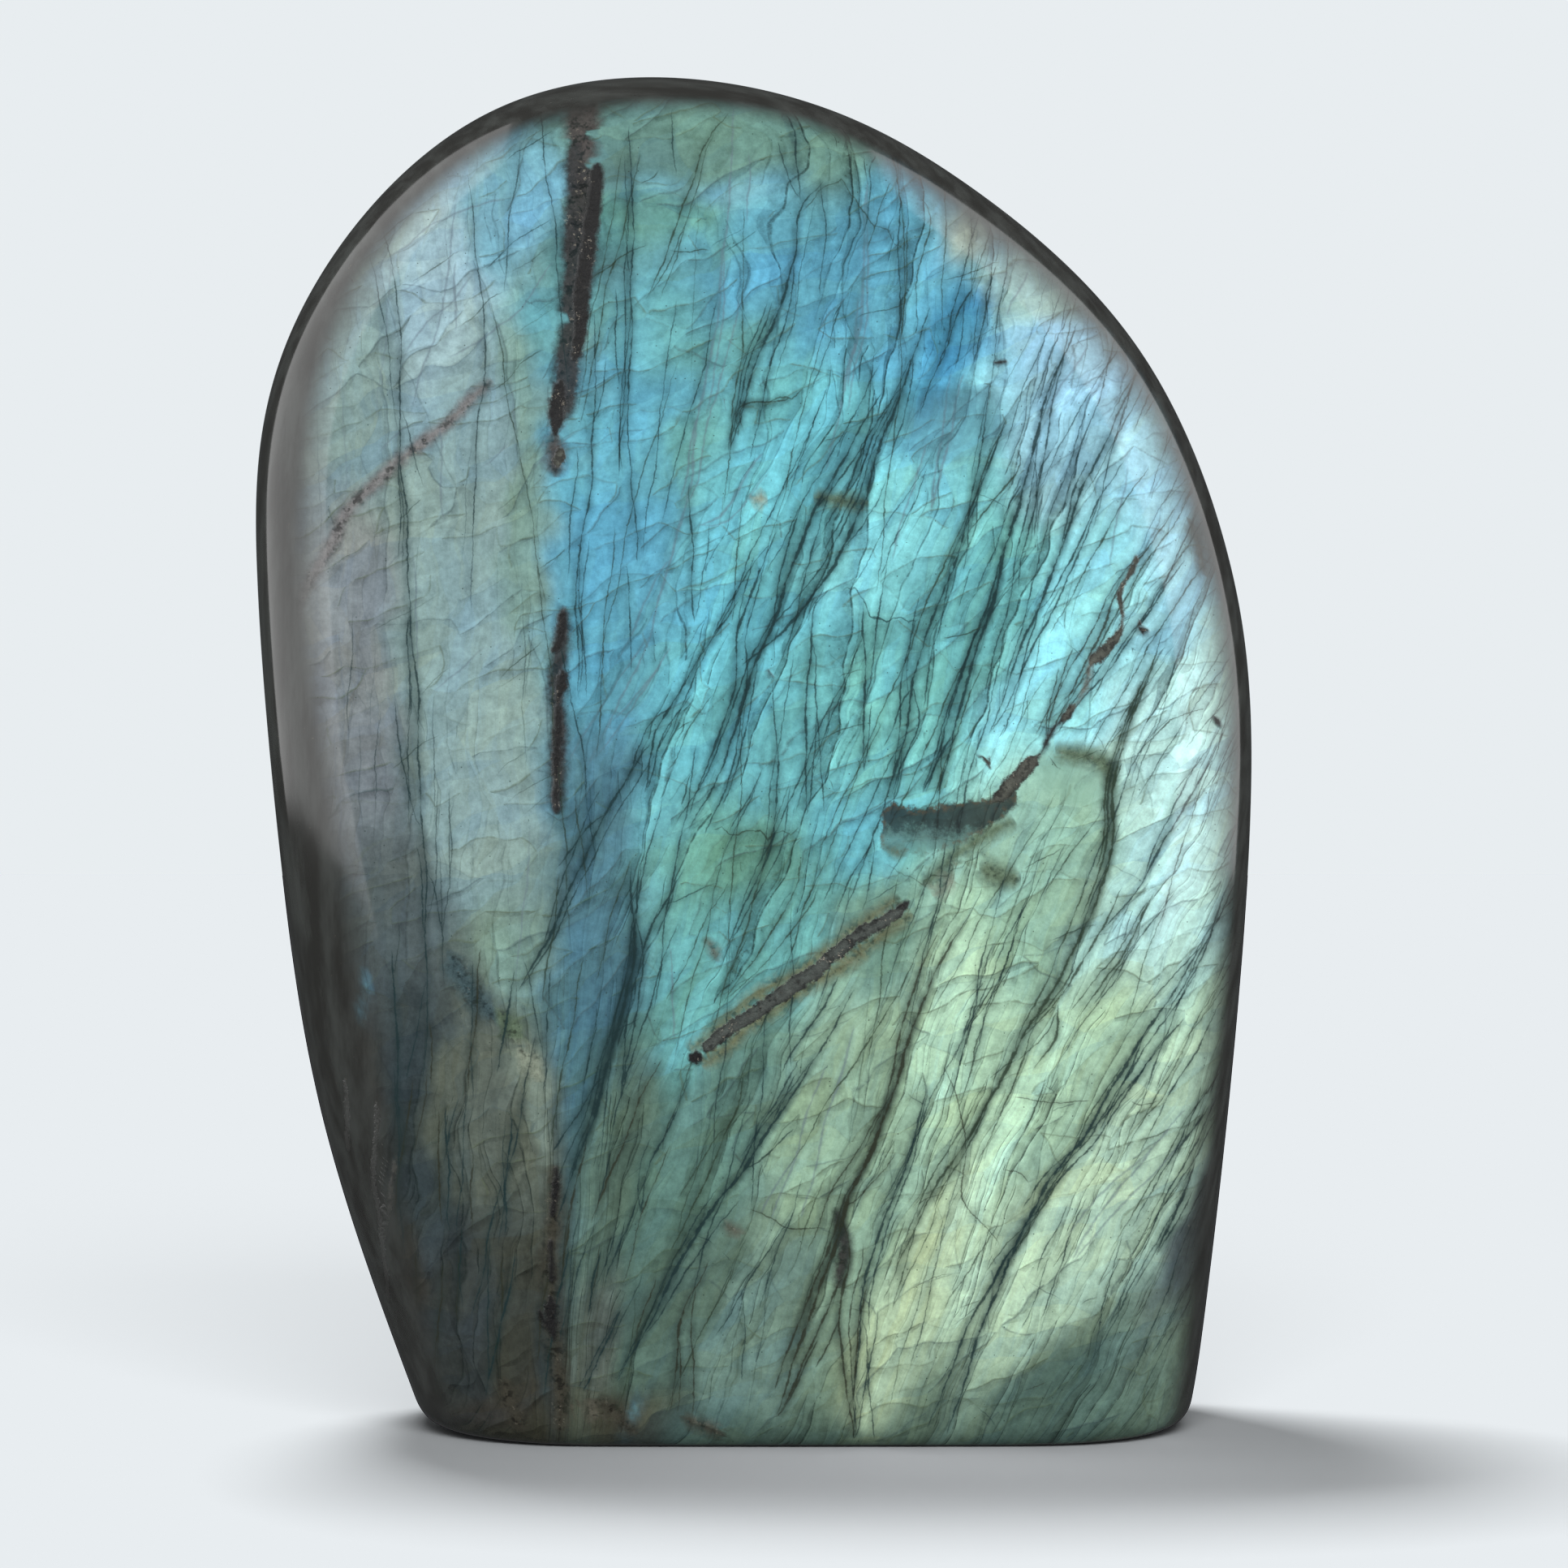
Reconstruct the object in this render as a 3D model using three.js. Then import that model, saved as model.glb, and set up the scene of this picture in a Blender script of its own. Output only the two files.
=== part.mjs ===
// A polished labradorite freeform: one stone, sawn flat underneath so that it stands upright, with broad
// domed faces front and back and a rounded shoulder all round.
// Millimetres, +Z up, the front face towards -Y. The origin is the middle of the footprint, on the sawn base.
import * as THREE from "three";
import { mergeVertices } from "three/addons/utils/BufferGeometryUtils.js";

// Overall height, which the domed faces run out at.
const HEIGHT = 144.6;

// Pull points of the outline seen from the front, [x, z], anticlockwise from the right-hand side.
// A smooth curve runs just inside them. Those below the base finish the pebble that the saw cut off.
const OUTLINE = [
  [53.9, 73.9], [51.5, 93.5], [42.5, 116.9], [23.6, 133.5], [3.5, 144.9], [-29.9, 145.9], [-53.2, 116.5],
  [-53.4, 91.3], [-50.6, 62.4], [-47.2, 33.7], [-36.2, 2.8], [-24.5, -28.7], [15.8, -35.7], [44.9, -14.8],
  [48.4, 12.5], [51.4, 40.5],
];
const SAMPLES_PER_POINT = 90;

// The middle of the stone, which every point of the skin is seen from.
const MIDDLE_Z = 72;

// How far the front and back faces stand from the middle plane: at the base, then by height and height squared.
const FRONT = { atBase: 23, rise: 0.06, curve: -0.00088 };
const BACK = { atBase: 23, rise: -0.01, curve: -0.0004 };
const FACE_DOME = 0.09; // share of the thickness that a face loses between its middle and the rim
const MIDDLE_SHIFT_Y = 0.8; // puts the middle of the footprint on the origin

// Roundings, as the distance from the edge at which each one starts.
const SHOULDER_TOP = 9;
const SHOULDER_FOOT = 18;
const BASE_EDGE = 3.2;
const WALL_CROWN = 1.6; // how much the side wall bulges at its middle

// The block that the skin's grid is laid out on: its sides at the foot and at the head, from the middle.
const FOOT = { left: -34.5, right: 46.5, half: 20 };
const HEAD = { left: -44, right: 44, half: 11 };
const CORNER_ROUNDING = 0.25;

// Cells of the grid across, through and up, drawn closer together towards the edges.
const CELLS = { across: 28, through: 12, up: 36 };
const CROWDING = 0.78;
const SEARCH_STEPS = 48;
const SEARCH_REACH = 200;
const FLAT_WITHIN = 1e-6;

const POLISHED_STONE = new THREE.MeshStandardMaterial({
  color: new THREE.Color(0.24, 0.42, 0.45),
  roughness: 0.12,
  metalness: 0.0,
});

// The weights of four neighbouring pull points, at a share of the way along their stretch of curve.
function pullWeights(t) {
  const u = 1 - t;
  return [
    u ** 3 / 6,
    (3 * t ** 3 - 6 * t ** 2 + 4) / 6,
    (3 * u ** 3 - 6 * u ** 2 + 4) / 6,
    t ** 3 / 6,
  ];
}

// The outline as distance from the middle, by angle, with the slant of the wall to that direction.
function outlineByAngle() {
  const samples = [];
  const points = OUTLINE.length;
  for (let i = 0; i < points * SAMPLES_PER_POINT; i++) {
    const first = Math.floor(i / SAMPLES_PER_POINT);
    let x = 0;
    let z = -MIDDLE_Z;
    pullWeights((i % SAMPLES_PER_POINT) / SAMPLES_PER_POINT).forEach((weight, k) => {
      x += weight * OUTLINE[(first + k) % points][0];
      z += weight * OUTLINE[(first + k) % points][1];
    });
    samples.push({ angle: Math.atan2(z, x), radius: Math.hypot(x, z) });
  }
  samples.sort((a, b) => a.angle - b.angle);
  const count = samples.length;
  samples.forEach((s, i) => {
    const before = samples[(i + count - 1) % count];
    const after = samples[(i + 1) % count];
    const turn = (after.angle - before.angle + 2 * Math.PI) % (2 * Math.PI);
    s.slant = s.radius / Math.hypot(s.radius, (after.radius - before.radius) / turn);
  });
  return samples;
}

const outline = outlineByAngle();

// The outline's radius and slant at an angle, between its two nearest samples.
function outlineAt(angle) {
  let low = 0;
  let high = outline.length - 1;
  if (angle <= outline[low].angle || angle >= outline[high].angle) return outline[low];
  while (high - low > 1) {
    const half = (low + high) >> 1;
    if (outline[half].angle <= angle) low = half;
    else high = half;
  }
  const share = (angle - outline[low].angle) / (outline[high].angle - outline[low].angle);
  return {
    radius: THREE.MathUtils.lerp(outline[low].radius, outline[high].radius, share),
    slant: THREE.MathUtils.lerp(outline[low].slant, outline[high].slant, share),
  };
}

// The larger of two levels, rounded over where they differ by less than the rounding.
function roundedMax(a, b, rounding) {
  const near = Math.max(rounding - Math.abs(a - b), 0) / rounding;
  return Math.max(a, b) + (near * near * rounding) / 4;
}

// Half the thickness on one side of the middle plane, at a height.
function reach(face, z) {
  return face.atBase + face.rise * z + face.curve * z * z;
}

// Below zero inside the stone, above zero outside, and zero on its skin. In millimetres near the skin.
function skinLevel(x, y, z) {
  const across = Math.hypot(x, z - MIDDLE_Z);
  const { radius, slant } = outlineAt(Math.atan2(z - MIDDLE_Z, x));
  const height = THREE.MathUtils.clamp(z, 0, HEIGHT);
  const face = y < 0 ? FRONT : BACK;
  const share = Math.min(across / radius, 1);
  const thickness = reach(face, height) * (1 - FACE_DOME * share * share);
  const overFace = Math.abs(y) - thickness;
  const overWall = (across - radius) * slant + WALL_CROWN * (y / thickness) ** 2;
  const low = THREE.MathUtils.clamp((MIDDLE_Z - z) / MIDDLE_Z, 0, 1);
  const shoulder = THREE.MathUtils.lerp(SHOULDER_TOP, SHOULDER_FOOT, low);
  return roundedMax(roundedMax(overFace, overWall, shoulder), -z, BASE_EDGE);
}

// The point of the skin in a direction from the stone's middle, found by halving the search each time.
function skinPoint(direction) {
  let inside = 0;
  let outside = SEARCH_REACH;
  for (let step = 0; step < SEARCH_STEPS; step++) {
    const half = (inside + outside) / 2;
    if (skinLevel(direction.x * half, direction.y * half, MIDDLE_Z + direction.z * half) < 0) inside = half;
    else outside = half;
  }
  return direction.clone().multiplyScalar(inside);
}

// Draws the grid lines together towards both ends of a side, from -1 to 1.
function crowded(share) {
  return Math.sin((share * CROWDING * Math.PI) / 2) / Math.sin((CROWDING * Math.PI) / 2);
}

// A point of the tapered block with rounded corners, from shares of -1 to 1 across, through and up.
function blockPoint(across, through, up) {
  const rise = (up + 1) / 2;
  const left = THREE.MathUtils.lerp(FOOT.left, HEAD.left, rise);
  const right = THREE.MathUtils.lerp(FOOT.right, HEAD.right, rise);
  const half = THREE.MathUtils.lerp(FOOT.half, HEAD.half, rise);
  const x = crowded(across) * Math.sqrt(1 - CORNER_ROUNDING * through ** 2);
  const y = crowded(through) * Math.sqrt(1 - CORNER_ROUNDING * across ** 2);
  return new THREE.Vector3((left + right + (right - left) * x) / 2, half * y, crowded(up) * MIDDLE_Z);
}

// A box whose grid is laid out on the block, each of its points then moved out or in to the skin.
function stoneGeometry() {
  const box = new THREE.BoxGeometry(2, 2, 2, CELLS.across, CELLS.through, CELLS.up);
  box.deleteAttribute("normal");
  box.deleteAttribute("uv");
  const skin = mergeVertices(box);
  const position = skin.getAttribute("position");
  for (let i = 0; i < position.count; i++) {
    const onBlock = blockPoint(position.getX(i), position.getY(i), position.getZ(i));
    const point = skinPoint(onBlock.normalize());
    const z = point.z + MIDDLE_Z;
    position.setXYZ(i, point.x, point.y + MIDDLE_SHIFT_Y, z < FLAT_WITHIN ? 0 : z);
  }
  skin.computeVertexNormals();
  return skin;
}

const stone = new THREE.Mesh(stoneGeometry(), POLISHED_STONE);
stone.name = "labradorite_stone";

const labradorite = new THREE.Group();
labradorite.add(stone);

export default labradorite;
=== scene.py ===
import bpy
import numpy as np
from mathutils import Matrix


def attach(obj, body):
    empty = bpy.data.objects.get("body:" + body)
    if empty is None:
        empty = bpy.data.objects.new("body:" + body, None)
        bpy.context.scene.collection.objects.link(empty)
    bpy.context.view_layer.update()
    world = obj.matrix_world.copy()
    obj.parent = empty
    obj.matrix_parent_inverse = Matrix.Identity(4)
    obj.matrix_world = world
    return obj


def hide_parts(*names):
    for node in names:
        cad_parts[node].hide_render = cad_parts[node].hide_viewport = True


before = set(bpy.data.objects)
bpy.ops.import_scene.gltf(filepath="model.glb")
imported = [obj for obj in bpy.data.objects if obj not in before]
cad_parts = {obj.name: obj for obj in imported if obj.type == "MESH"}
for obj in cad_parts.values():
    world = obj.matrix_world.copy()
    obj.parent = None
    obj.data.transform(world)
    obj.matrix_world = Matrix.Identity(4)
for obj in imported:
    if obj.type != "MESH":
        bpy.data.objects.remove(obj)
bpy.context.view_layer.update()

# The stone's form. One piece of labradorite, sawn flat underneath so that it stands, then ground and
# polished all over: a broad domed face in front and behind, a rounded shoulder between them, and a short
# rounding at the base.
HEIGHT = 144.6
OUTLINE = np.array([
    (53.9, 73.9), (51.5, 93.5), (42.5, 116.9), (23.6, 133.5), (3.5, 144.9), (-29.9, 145.9), (-53.2, 116.5),
    (-53.4, 91.3), (-50.6, 62.4), (-47.2, 33.7), (-36.2, 2.8), (-24.5, -28.7), (15.8, -35.7), (44.9, -14.8),
    (48.4, 12.5), (51.4, 40.5),
])
SAMPLES_PER_POINT = 90
MIDDLE_Z = 72
MIDDLE_SHIFT_Y = 0.8
FRONT_REACH = (-0.00088, 0.06, 23)
BACK_REACH = (-0.0004, -0.01, 23)
FACE_DOME = 0.09
SHOULDER_TOP, SHOULDER_FOOT = 9, 18
BASE_EDGE = 3.2
WALL_CROWN = 1.6
FOOT, HEAD = (-34.5, 46.5, 20), (-44, 44, 11)
CORNER_ROUNDING = 0.25
CELLS = (152, 44, 212)
CROWDING = 0.5
SEARCH_STEPS = 44
SEARCH_REACH = 200.0
FLAT_WITHIN = 1e-6


def rim_by_angle():
    """The outline as angle, radius and slant about the stone's middle. With t the share of the way along a
    stretch and u = 1 - t, its four nearest pull points weigh u^3, 3t^3 - 6t^2 + 4, 3u^3 - 6u^2 + 4 and t^3,
    all over 6. The slant is the cosine of the angle between the ray from the middle and the wall's normal."""
    t = np.arange(SAMPLES_PER_POINT) / SAMPLES_PER_POINT
    u = 1 - t
    weights = np.stack([u ** 3, 3 * t ** 3 - 6 * t ** 2 + 4, 3 * u ** 3 - 6 * u ** 2 + 4, t ** 3]) / 6
    pulls = np.stack([np.roll(OUTLINE, -k, axis=0) for k in range(4)])
    points = np.einsum("kt,knc->ntc", weights, pulls).reshape(-1, 2) - (0, MIDDLE_Z)
    angle, radius = np.arctan2(points[:, 1], points[:, 0]), np.hypot(*points.T)
    order = np.argsort(angle)
    angle, radius = angle[order], radius[order]
    turn = (np.roll(angle, -1) - np.roll(angle, 1)) % (2 * np.pi)
    slant = radius / np.hypot(radius, (np.roll(radius, -1) - np.roll(radius, 1)) / turn)
    return angle, radius, slant


RIM_ANGLE, RIM_RADIUS, RIM_SLANT = rim_by_angle()


def inside_rim(x, z):
    """How far inside the outline a place is, in millimetres: the rim's radius less its own, times the slant.
    The rim's radius in its direction comes with it."""
    angle = np.arctan2(z - MIDDLE_Z, x)
    radius = np.interp(angle, RIM_ANGLE, RIM_RADIUS, period=2 * np.pi)
    slant = np.interp(angle, RIM_ANGLE, RIM_SLANT, period=2 * np.pi)
    return (radius - np.hypot(x, z - MIDDLE_Z)) * slant, radius


def rounded_max(a, b, rounding):
    """The larger of two levels, plus near squared times a quarter of the rounding, where near falls from 1
    where they are equal to 0 where they differ by the rounding."""
    near = np.maximum(rounding - np.abs(a - b), 0) / rounding
    return np.maximum(a, b) + near ** 2 * rounding / 4


def skin_level(x, y, z):
    """Below 0 inside the stone and above 0 outside: the rounded largest of how far a place is past the domed
    face, past the crowned side wall and under the base."""
    inside, radius = inside_rim(x, z)
    height = np.clip(z, 0, HEIGHT)
    reach = np.where(y < 0, np.polyval(FRONT_REACH, height), np.polyval(BACK_REACH, height))
    thickness = reach * (1 - FACE_DOME * np.minimum(np.hypot(x, z - MIDDLE_Z) / radius, 1) ** 2)
    over_wall = WALL_CROWN * (y / thickness) ** 2 - inside
    shoulder = np.interp(z, (0, MIDDLE_Z), (SHOULDER_FOOT, SHOULDER_TOP))
    return rounded_max(rounded_max(np.abs(y) - thickness, over_wall, shoulder), -z, BASE_EDGE)


def box_lattice(cells):
    """The corners of a box's surface lattice in whole steps, and its four-sided faces. Each side is a grid
    of two of the steps with the third at 0 or at its end, and corners that fall together are one."""
    corners, faces, count = [], [], 0
    for axis in range(3):
        first, second = (axis + 1) % 3, (axis + 2) % 3
        for end in (0, cells[axis]):
            i, j = np.meshgrid(np.arange(cells[first] + 1), np.arange(cells[second] + 1), indexing="ij")
            side = np.empty(i.shape + (3,), int)
            side[..., first], side[..., second], side[..., axis] = i, j, end
            index = count + np.arange(i.size).reshape(i.shape)
            ring = [index[:-1, :-1], index[1:, :-1], index[1:, 1:], index[:-1, 1:]]
            quads = np.stack(ring, axis=-1).reshape(-1, 4)
            faces.append(quads if end else quads[:, ::-1])
            corners.append(side.reshape(-1, 3))
            count += i.size
    shared, index = np.unique(np.concatenate(corners), axis=0, return_inverse=True)
    return shared, index.reshape(-1)[np.concatenate(faces)]


def on_block(share):
    """Lattice shares from -1 to 1 laid out on a tapered block: each is drawn towards the ends as
    sin(crowding * s) over sin(crowding), and the block's corners are rounded by sqrt(1 - rounding * other
    share squared)."""
    crowded = np.sin(share * CROWDING * np.pi / 2) / np.sin(CROWDING * np.pi / 2)
    rise = (share[:, 2] + 1) / 2
    left, right, half = (foot + (head - foot) * rise for foot, head in zip(FOOT, HEAD))
    x = crowded[:, 0] * np.sqrt(1 - CORNER_ROUNDING * share[:, 1] ** 2)
    y = crowded[:, 1] * np.sqrt(1 - CORNER_ROUNDING * share[:, 0] ** 2)
    return np.stack([(left + right + (right - left) * x) / 2, half * y, crowded[:, 2] * MIDDLE_Z], axis=1)


def skin_points(directions):
    """Where each ray from the stone's middle leaves it, found by halving the stretch that holds the skin."""
    inside, outside = np.zeros(len(directions)), np.full(len(directions), SEARCH_REACH)
    for _ in range(SEARCH_STEPS):
        half = (inside + outside) / 2
        x, y, z = (directions * half[:, None]).T
        within = skin_level(x, y, z + MIDDLE_Z) < 0
        inside, outside = np.where(within, half, inside), np.where(within, outside, half)
    points = directions * inside[:, None] + (0, MIDDLE_SHIFT_Y, MIDDLE_Z)
    points[np.abs(points[:, 2]) < FLAT_WITHIN, 2] = 0
    return points


lattice, faces = box_lattice(CELLS)
block = on_block(2 * lattice / CELLS - 1)
skin = skin_points(block / np.linalg.norm(block, axis=1, keepdims=True))
x, y, z = skin.T

# The cleavage. Feldspar splits into slivers: upright ones in the left third, and to the right of them ones
# that lean over more and more, less so towards the top. Everything in the stone follows their course.
LEANS = ((0.36, -24, -6), (0.26, 20, 46))
LESS_ON_TOP, TOP_STARTS, TOP_ENDS = 0.5, 98, 140
LEAN_STEPS = 40


def smooth_step(start, end, value):
    """3t^2 - 2t^3 of the share t of the way from start to end, held between 0 and 1."""
    t = np.clip((value - start) / (end - start), 0, 1)
    return t * t * (3 - 2 * t)


def lean(x, z):
    """How far a sliver's edge moves to the right for each millimetre that it climbs: it gains each of the
    leans between the two places that go with it, and loses a share of it towards the top."""
    to_the_right = sum(gain * smooth_step(start, end, x) for gain, start, end in LEANS)
    return to_the_right * (1 - LESS_ON_TOP * smooth_step(TOP_STARTS, TOP_ENDS, z))


def sliver_at(x, z):
    """Which sliver a place is in: where its edge crosses the level of the middle, found by following the
    lean there in equal steps."""
    across = np.array(x, float)
    step = (z - MIDDLE_Z) / LEAN_STEPS
    for done in range(LEAN_STEPS):
        across -= lean(across, z - step * done) * step
    return across


sliver = sliver_at(x, z)

# The cracks. Steps and partings between the slivers, dark where they are open, mauve where they are healed.
# Those that stand out are listed by strength, colour and course in the front face, in millimetres; a
# colour's last number is how far it is a healed veil. Finer cracks are strewn between them.
DARK, GREEN, MAUVE, BROWN = (28, 46, 48, 0), (42, 54, 42, 0), (92, 104, 116, 1), (44, 46, 36, 0)
TOP_CRACKS = [
    (0.9, DARK, (-13, 138), (-12.5, 122), (-13, 108.5), (-12.5, 101)),
    (0.8, GREEN, (-2.5, 139.5), (-5.5, 135), (-8, 126.5), (-11, 119.5)),
    (0.9, MAUVE, (-2, 140.5), (-3, 123.5), (-5.5, 107), (-7.5, 95.5), (-11.5, 82), (-17.5, 69.5)),
    (0.8, DARK, (3.5, 139.5), (4.5, 136.5), (5, 130)),
    (1.2, DARK, (7.5, 132), (5, 128.5), (4, 122.5), (-0.5, 109.5), (-2.5, 103)),
    (0.4, DARK, (-8.5, 140), (-8.5, 136), (-8, 132.5)), (0.4, MAUVE, (-0.5, 135), (-0.5, 127.5)),
    (0.5, DARK, (7, 132.5), (7.5, 125), (7, 119.5)), (0.9, MAUVE, (12, 132), (11, 116.5), (7.5, 101)),
    (0.5, GREEN, (14.5, 132), (12, 124.5)), (0.8, DARK, (-16.5, 118), (-16.5, 103), (-18, 91.5), (-18, 77.5)),
    (0.6, GREEN, (17.5, 130.5), (18.5, 128), (17, 120)),
]
RIGHT_CRACKS = [
    (1.5, DARK, (18.5, 118.5), (15, 108.5), (11, 97), (6, 87.5), (-1, 81)),
    (1.0, DARK, (23, 120.5), (21.5, 118), (19.5, 112.5)), (0.8, DARK, (25.5, 123), (23, 112.5)),
    (0.5, MAUVE, (29, 122.5), (26.5, 117.5)),
    (1.6, DARK, (34, 117), (30, 107), (27.5, 97), (23.5, 83.5), (19, 67.5)),
    (0.6, MAUVE, (35, 114.5), (30.5, 107)), (1.3, DARK, (40.5, 112), (36, 103), (31.5, 92), (24.5, 74)),
    (0.5, DARK, (39, 108.5), (36.5, 100)), (0.8, MAUVE, (22, 111.5), (18.5, 97)),
    (1.2, DARK, (26.5, 107), (22, 95), (17, 80.5), (14.5, 69), (9.5, 55.5)),
    (0.7, GREEN, (27.5, 103.5), (27.5, 101.5), (22.5, 95)), (0.7, MAUVE, (18, 104), (14.5, 92)),
    (0.6, MAUVE, (11, 119.5), (10, 110)), (0.4, DARK, (14, 117.5), (14.5, 109)),
    (0.4, MAUVE, (39, 102), (37, 91)), (1.2, BROWN, (44, 97.5), (38, 88.5), (30.5, 73)),
    (0.9, DARK, (45, 92), (37, 81), (31.5, 74)), (1.0, DARK, (48, 72), (41, 60), (36.5, 54)),
    (0.5, BROWN, (43.5, 105.5), (43, 103)),
]
CENTRE_CRACKS = [
    (1.5, DARK, (13.5, 109.5), (7.5, 99), (2, 85.5), (-3, 71), (-6.5, 64)),
    (1.2, DARK, (2.5, 95), (-1, 86), (-2, 78.5), (-6.5, 65.5)),
    (1.2, DARK, (-1.5, 87.5), (-9, 76), (-11, 68)), (0.8, DARK, (-6.5, 100), (-6.5, 95), (-6, 85.5)),
    (0.8, MAUVE, (1, 103), (-3, 97), (-5.5, 95.5)), (0.7, DARK, (-12.5, 101.5), (-12, 91.5)),
    (0.5, DARK, (-13, 91.5), (-12.5, 80)), (1.3, DARK, (-10.5, 73), (-15, 66), (-19, 57), (-24, 47.5)),
    (1.0, DARK, (8, 89), (6, 84.5), (5.5, 65.5)), (1.0, DARK, (11.5, 87), (11.5, 70)),
    (0.8, DARK, (16.5, 79), (17, 74.5), (14.5, 68)), (0.9, DARK, (2, 79), (2.5, 65.5), (-2.5, 52)),
    (0.6, DARK, (14, 91.5), (11.5, 76.5)), (0.4, DARK, (24.5, 82.5), (24, 72)),
    (0.9, DARK, (-7, 60), (-12, 49.5), (-13.5, 36)), (0.9, GREEN, (5, 61), (4, 57), (-3, 46)),
    (0.6, DARK, (4, 56), (4, 39.5)),
]
LOWER_CRACKS = [
    (1.5, GREEN, (42.5, 84.5), (37.5, 69.5), (36.5, 59), (30.5, 47), (24, 35.5), (17, 23.5), (13.5, 15.5)),
    (0.9, GREEN, (41.5, 57.5), (36.5, 48.5), (33.5, 44.5)), (1.0, GREEN, (31.5, 46), (31.5, 43), (29, 39.5)),
    (1.6, DARK, (46.5, 52), (41, 43.5), (35, 34), (27, 21), (20, 1.5)),
    (0.9, GREEN, (32.5, 29.5), (25.5, 17.5)),
    (1.9, BROWN, (22.5, 55.5), (18.6, 49), (16.2, 42), (12.4, 31.5), (9.4, 24), (6, 14), (2.5, 3.5)),
    (1.2, DARK, (17.5, 39), (17.5, 35), (11.5, 16.5), (10.5, 1)),
    (0.8, MAUVE, (45, 35), (36.5, 25.5), (33, 19.5)), (1.1, DARK, (47.5, 35), (44, 30.5)),
    (1.4, DARK, (46, 29), (42, 20)), (1.8, DARK, (-12.5, 60), (-12.5, 49), (-16, 36), (-20, 24)),
    (0.9, DARK, (-6.5, 38.5), (-10.5, 29), (-11.5, 24.5)),
    (1.4, DARK, (10.5, 47.5), (2.5, 34), (-5, 23.5), (-14, 7)), (0.8, DARK, (9, 49), (3, 39)),
    (0.8, GREEN, (-1, 39.5), (-2, 34), (-8.5, 20.5)), (0.8, MAUVE, (7.5, 39.5), (2, 24)),
    (0.8, MAUVE, (10.5, 44), (5, 24)), (1.0, BROWN, (-4.5, 19.5), (-7, 14), (-8.5, 4)),
    (1.4, BROWN, (9, 24.5), (10, 21), (9, 14), (10.5, 1)), (0.8, BROWN, (9, 13.5), (6.5, 8.5)),
    (0.9, DARK, (-13.5, 14.5), (-17.5, 6)), (0.5, DARK, (-1, 16), (-1, 7)),
    (0.6, MAUVE, (-8.5, 52), (-8, 42.5)),
]
LEFT_CRACKS = [
    (0.8, DARK, (-39, 127.5), (-37, 119), (-36.5, 103.5), (-34.5, 74), (-33.5, 49), (-34, 37.5)),
    (0.6, DARK, (-30, 133), (-28, 115.5), (-29, 97), (-29, 86)), (0.5, DARK, (-24.5, 136), (-26, 120)),
    (0.5, MAUVE, (-31, 130), (-32.5, 118.5), (-35.5, 107.5)), (0.5, MAUVE, (-31, 123.5), (-31, 116)),
    (0.5, MAUVE, (-32.5, 106), (-32, 96)),
]
CROSS_CRACKS = [
    (0.7, MAUVE, (-38, 124), (-33, 127.5), (-26, 130)), (0.6, DARK, (-28, 122.5), (-21, 128)),
    (0.5, GREEN, (-30.5, 116.5), (-26, 120)), (0.6, MAUVE, (-32, 113), (-24.5, 118), (-20.5, 123.5)),
    (0.5, MAUVE, (-36.5, 113), (-29, 122.5)), (0.5, GREEN, (-27.5, 109.5), (-21.5, 114)),
    (0.5, DARK, (-26, 134), (-21, 137.5)), (0.7, GREEN, (-8.5, 124.5), (-6.5, 124), (-4.5, 124.5)),
    (0.9, BROWN, (-1, 105.5), (-1, 108), (4, 109)), (0.8, GREEN, (-17, 121.5), (-11, 125)),
    (0.6, GREEN, (-4, 78), (-9, 70)), (0.7, BROWN, (40, 72.5), (44.5, 75.5), (47, 76.5)),
    (0.4, GREEN, (31, 65), (34.5, 62), (35, 59)), (0.8, BROWN, (19.5, 40), (22, 32.5), (22, 26), (25.5, 21)),
    (0.6, DARK, (20, 45), (26.5, 40.5)), (0.8, BROWN, (27, 36.5), (35, 36)),
    (0.6, BROWN, (26, 29), (28.5, 27.5)), (0.6, DARK, (29, 21.5), (31.5, 20.5)),
    (0.5, BROWN, (39, 36), (42, 36)), (0.4, BROWN, (22, 31), (26, 30.5)),
    (0.8, BROWN, (-0.5, 25), (4, 23.5), (7.5, 23)), (0.5, DARK, (-4.5, 38), (-1.5, 39.5)),
]
# Ledges: jagged cracks with painted shade below them and painted light above, given as strength, colour and
# course.
LEDGES = [
    (1.2, DARK, (9.2, 88.9), (11.4, 87.9), (12, 86.3), (14.5, 86), (17.4, 85.8)),
    (1.6, GREEN, (-4.1, 64.2), (-1.9, 63.2), (0.2, 63.8), (2.3, 63.3), (4.9, 64.3)),
    (1.6, GREEN, (-1.3, 104.3), (-1.3, 107.9), (0.7, 108.1), (2.8, 108.9), (5.5, 109.7)),
    (1.3, BROWN, (14.1, 107.9), (17.1, 109.5), (20, 110.5), (22.9, 110.7), (26.4, 109.2)),
    (1.1, GREEN, (5.1, 128.7), (8.8, 132.1), (12.5, 127.2), (16.2, 124.7)),
    (1.2, BROWN, (28, 70.8), (29.4, 72.4), (33, 72.2), (36, 71.9), (37.4, 69.4)),
    (0.9, GREEN, (-25.5, 37.6), (-22.6, 36.2), (-19.6, 36.9), (-17.2, 38.4)),
    (0.7, BROWN, (6.6, 97.9), (8.8, 97.4), (11.4, 98)),
    (0.7, GREEN, (13.5, 60.5), (17, 59.2), (21, 60.2), (25, 62.6)),
]
LEDGE_SHARE, CROSS_SHARE = 0.4, 0.7
COURSE_STEP = 0.8
SWING_LENGTHS, SWING_SHARES = (4.3, 9.1, 17), (0.3, 1, 1.8)
SPLIT_FROM, SPLIT_EVERY, SPLIT_REACH = 0.75, 8, (0.5, 2.6)
SPLINTER_STEPS, SPLINTER_WEIGHT = (8, 40), (0.35, 0.7)
CAPTURE = 3.5
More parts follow.
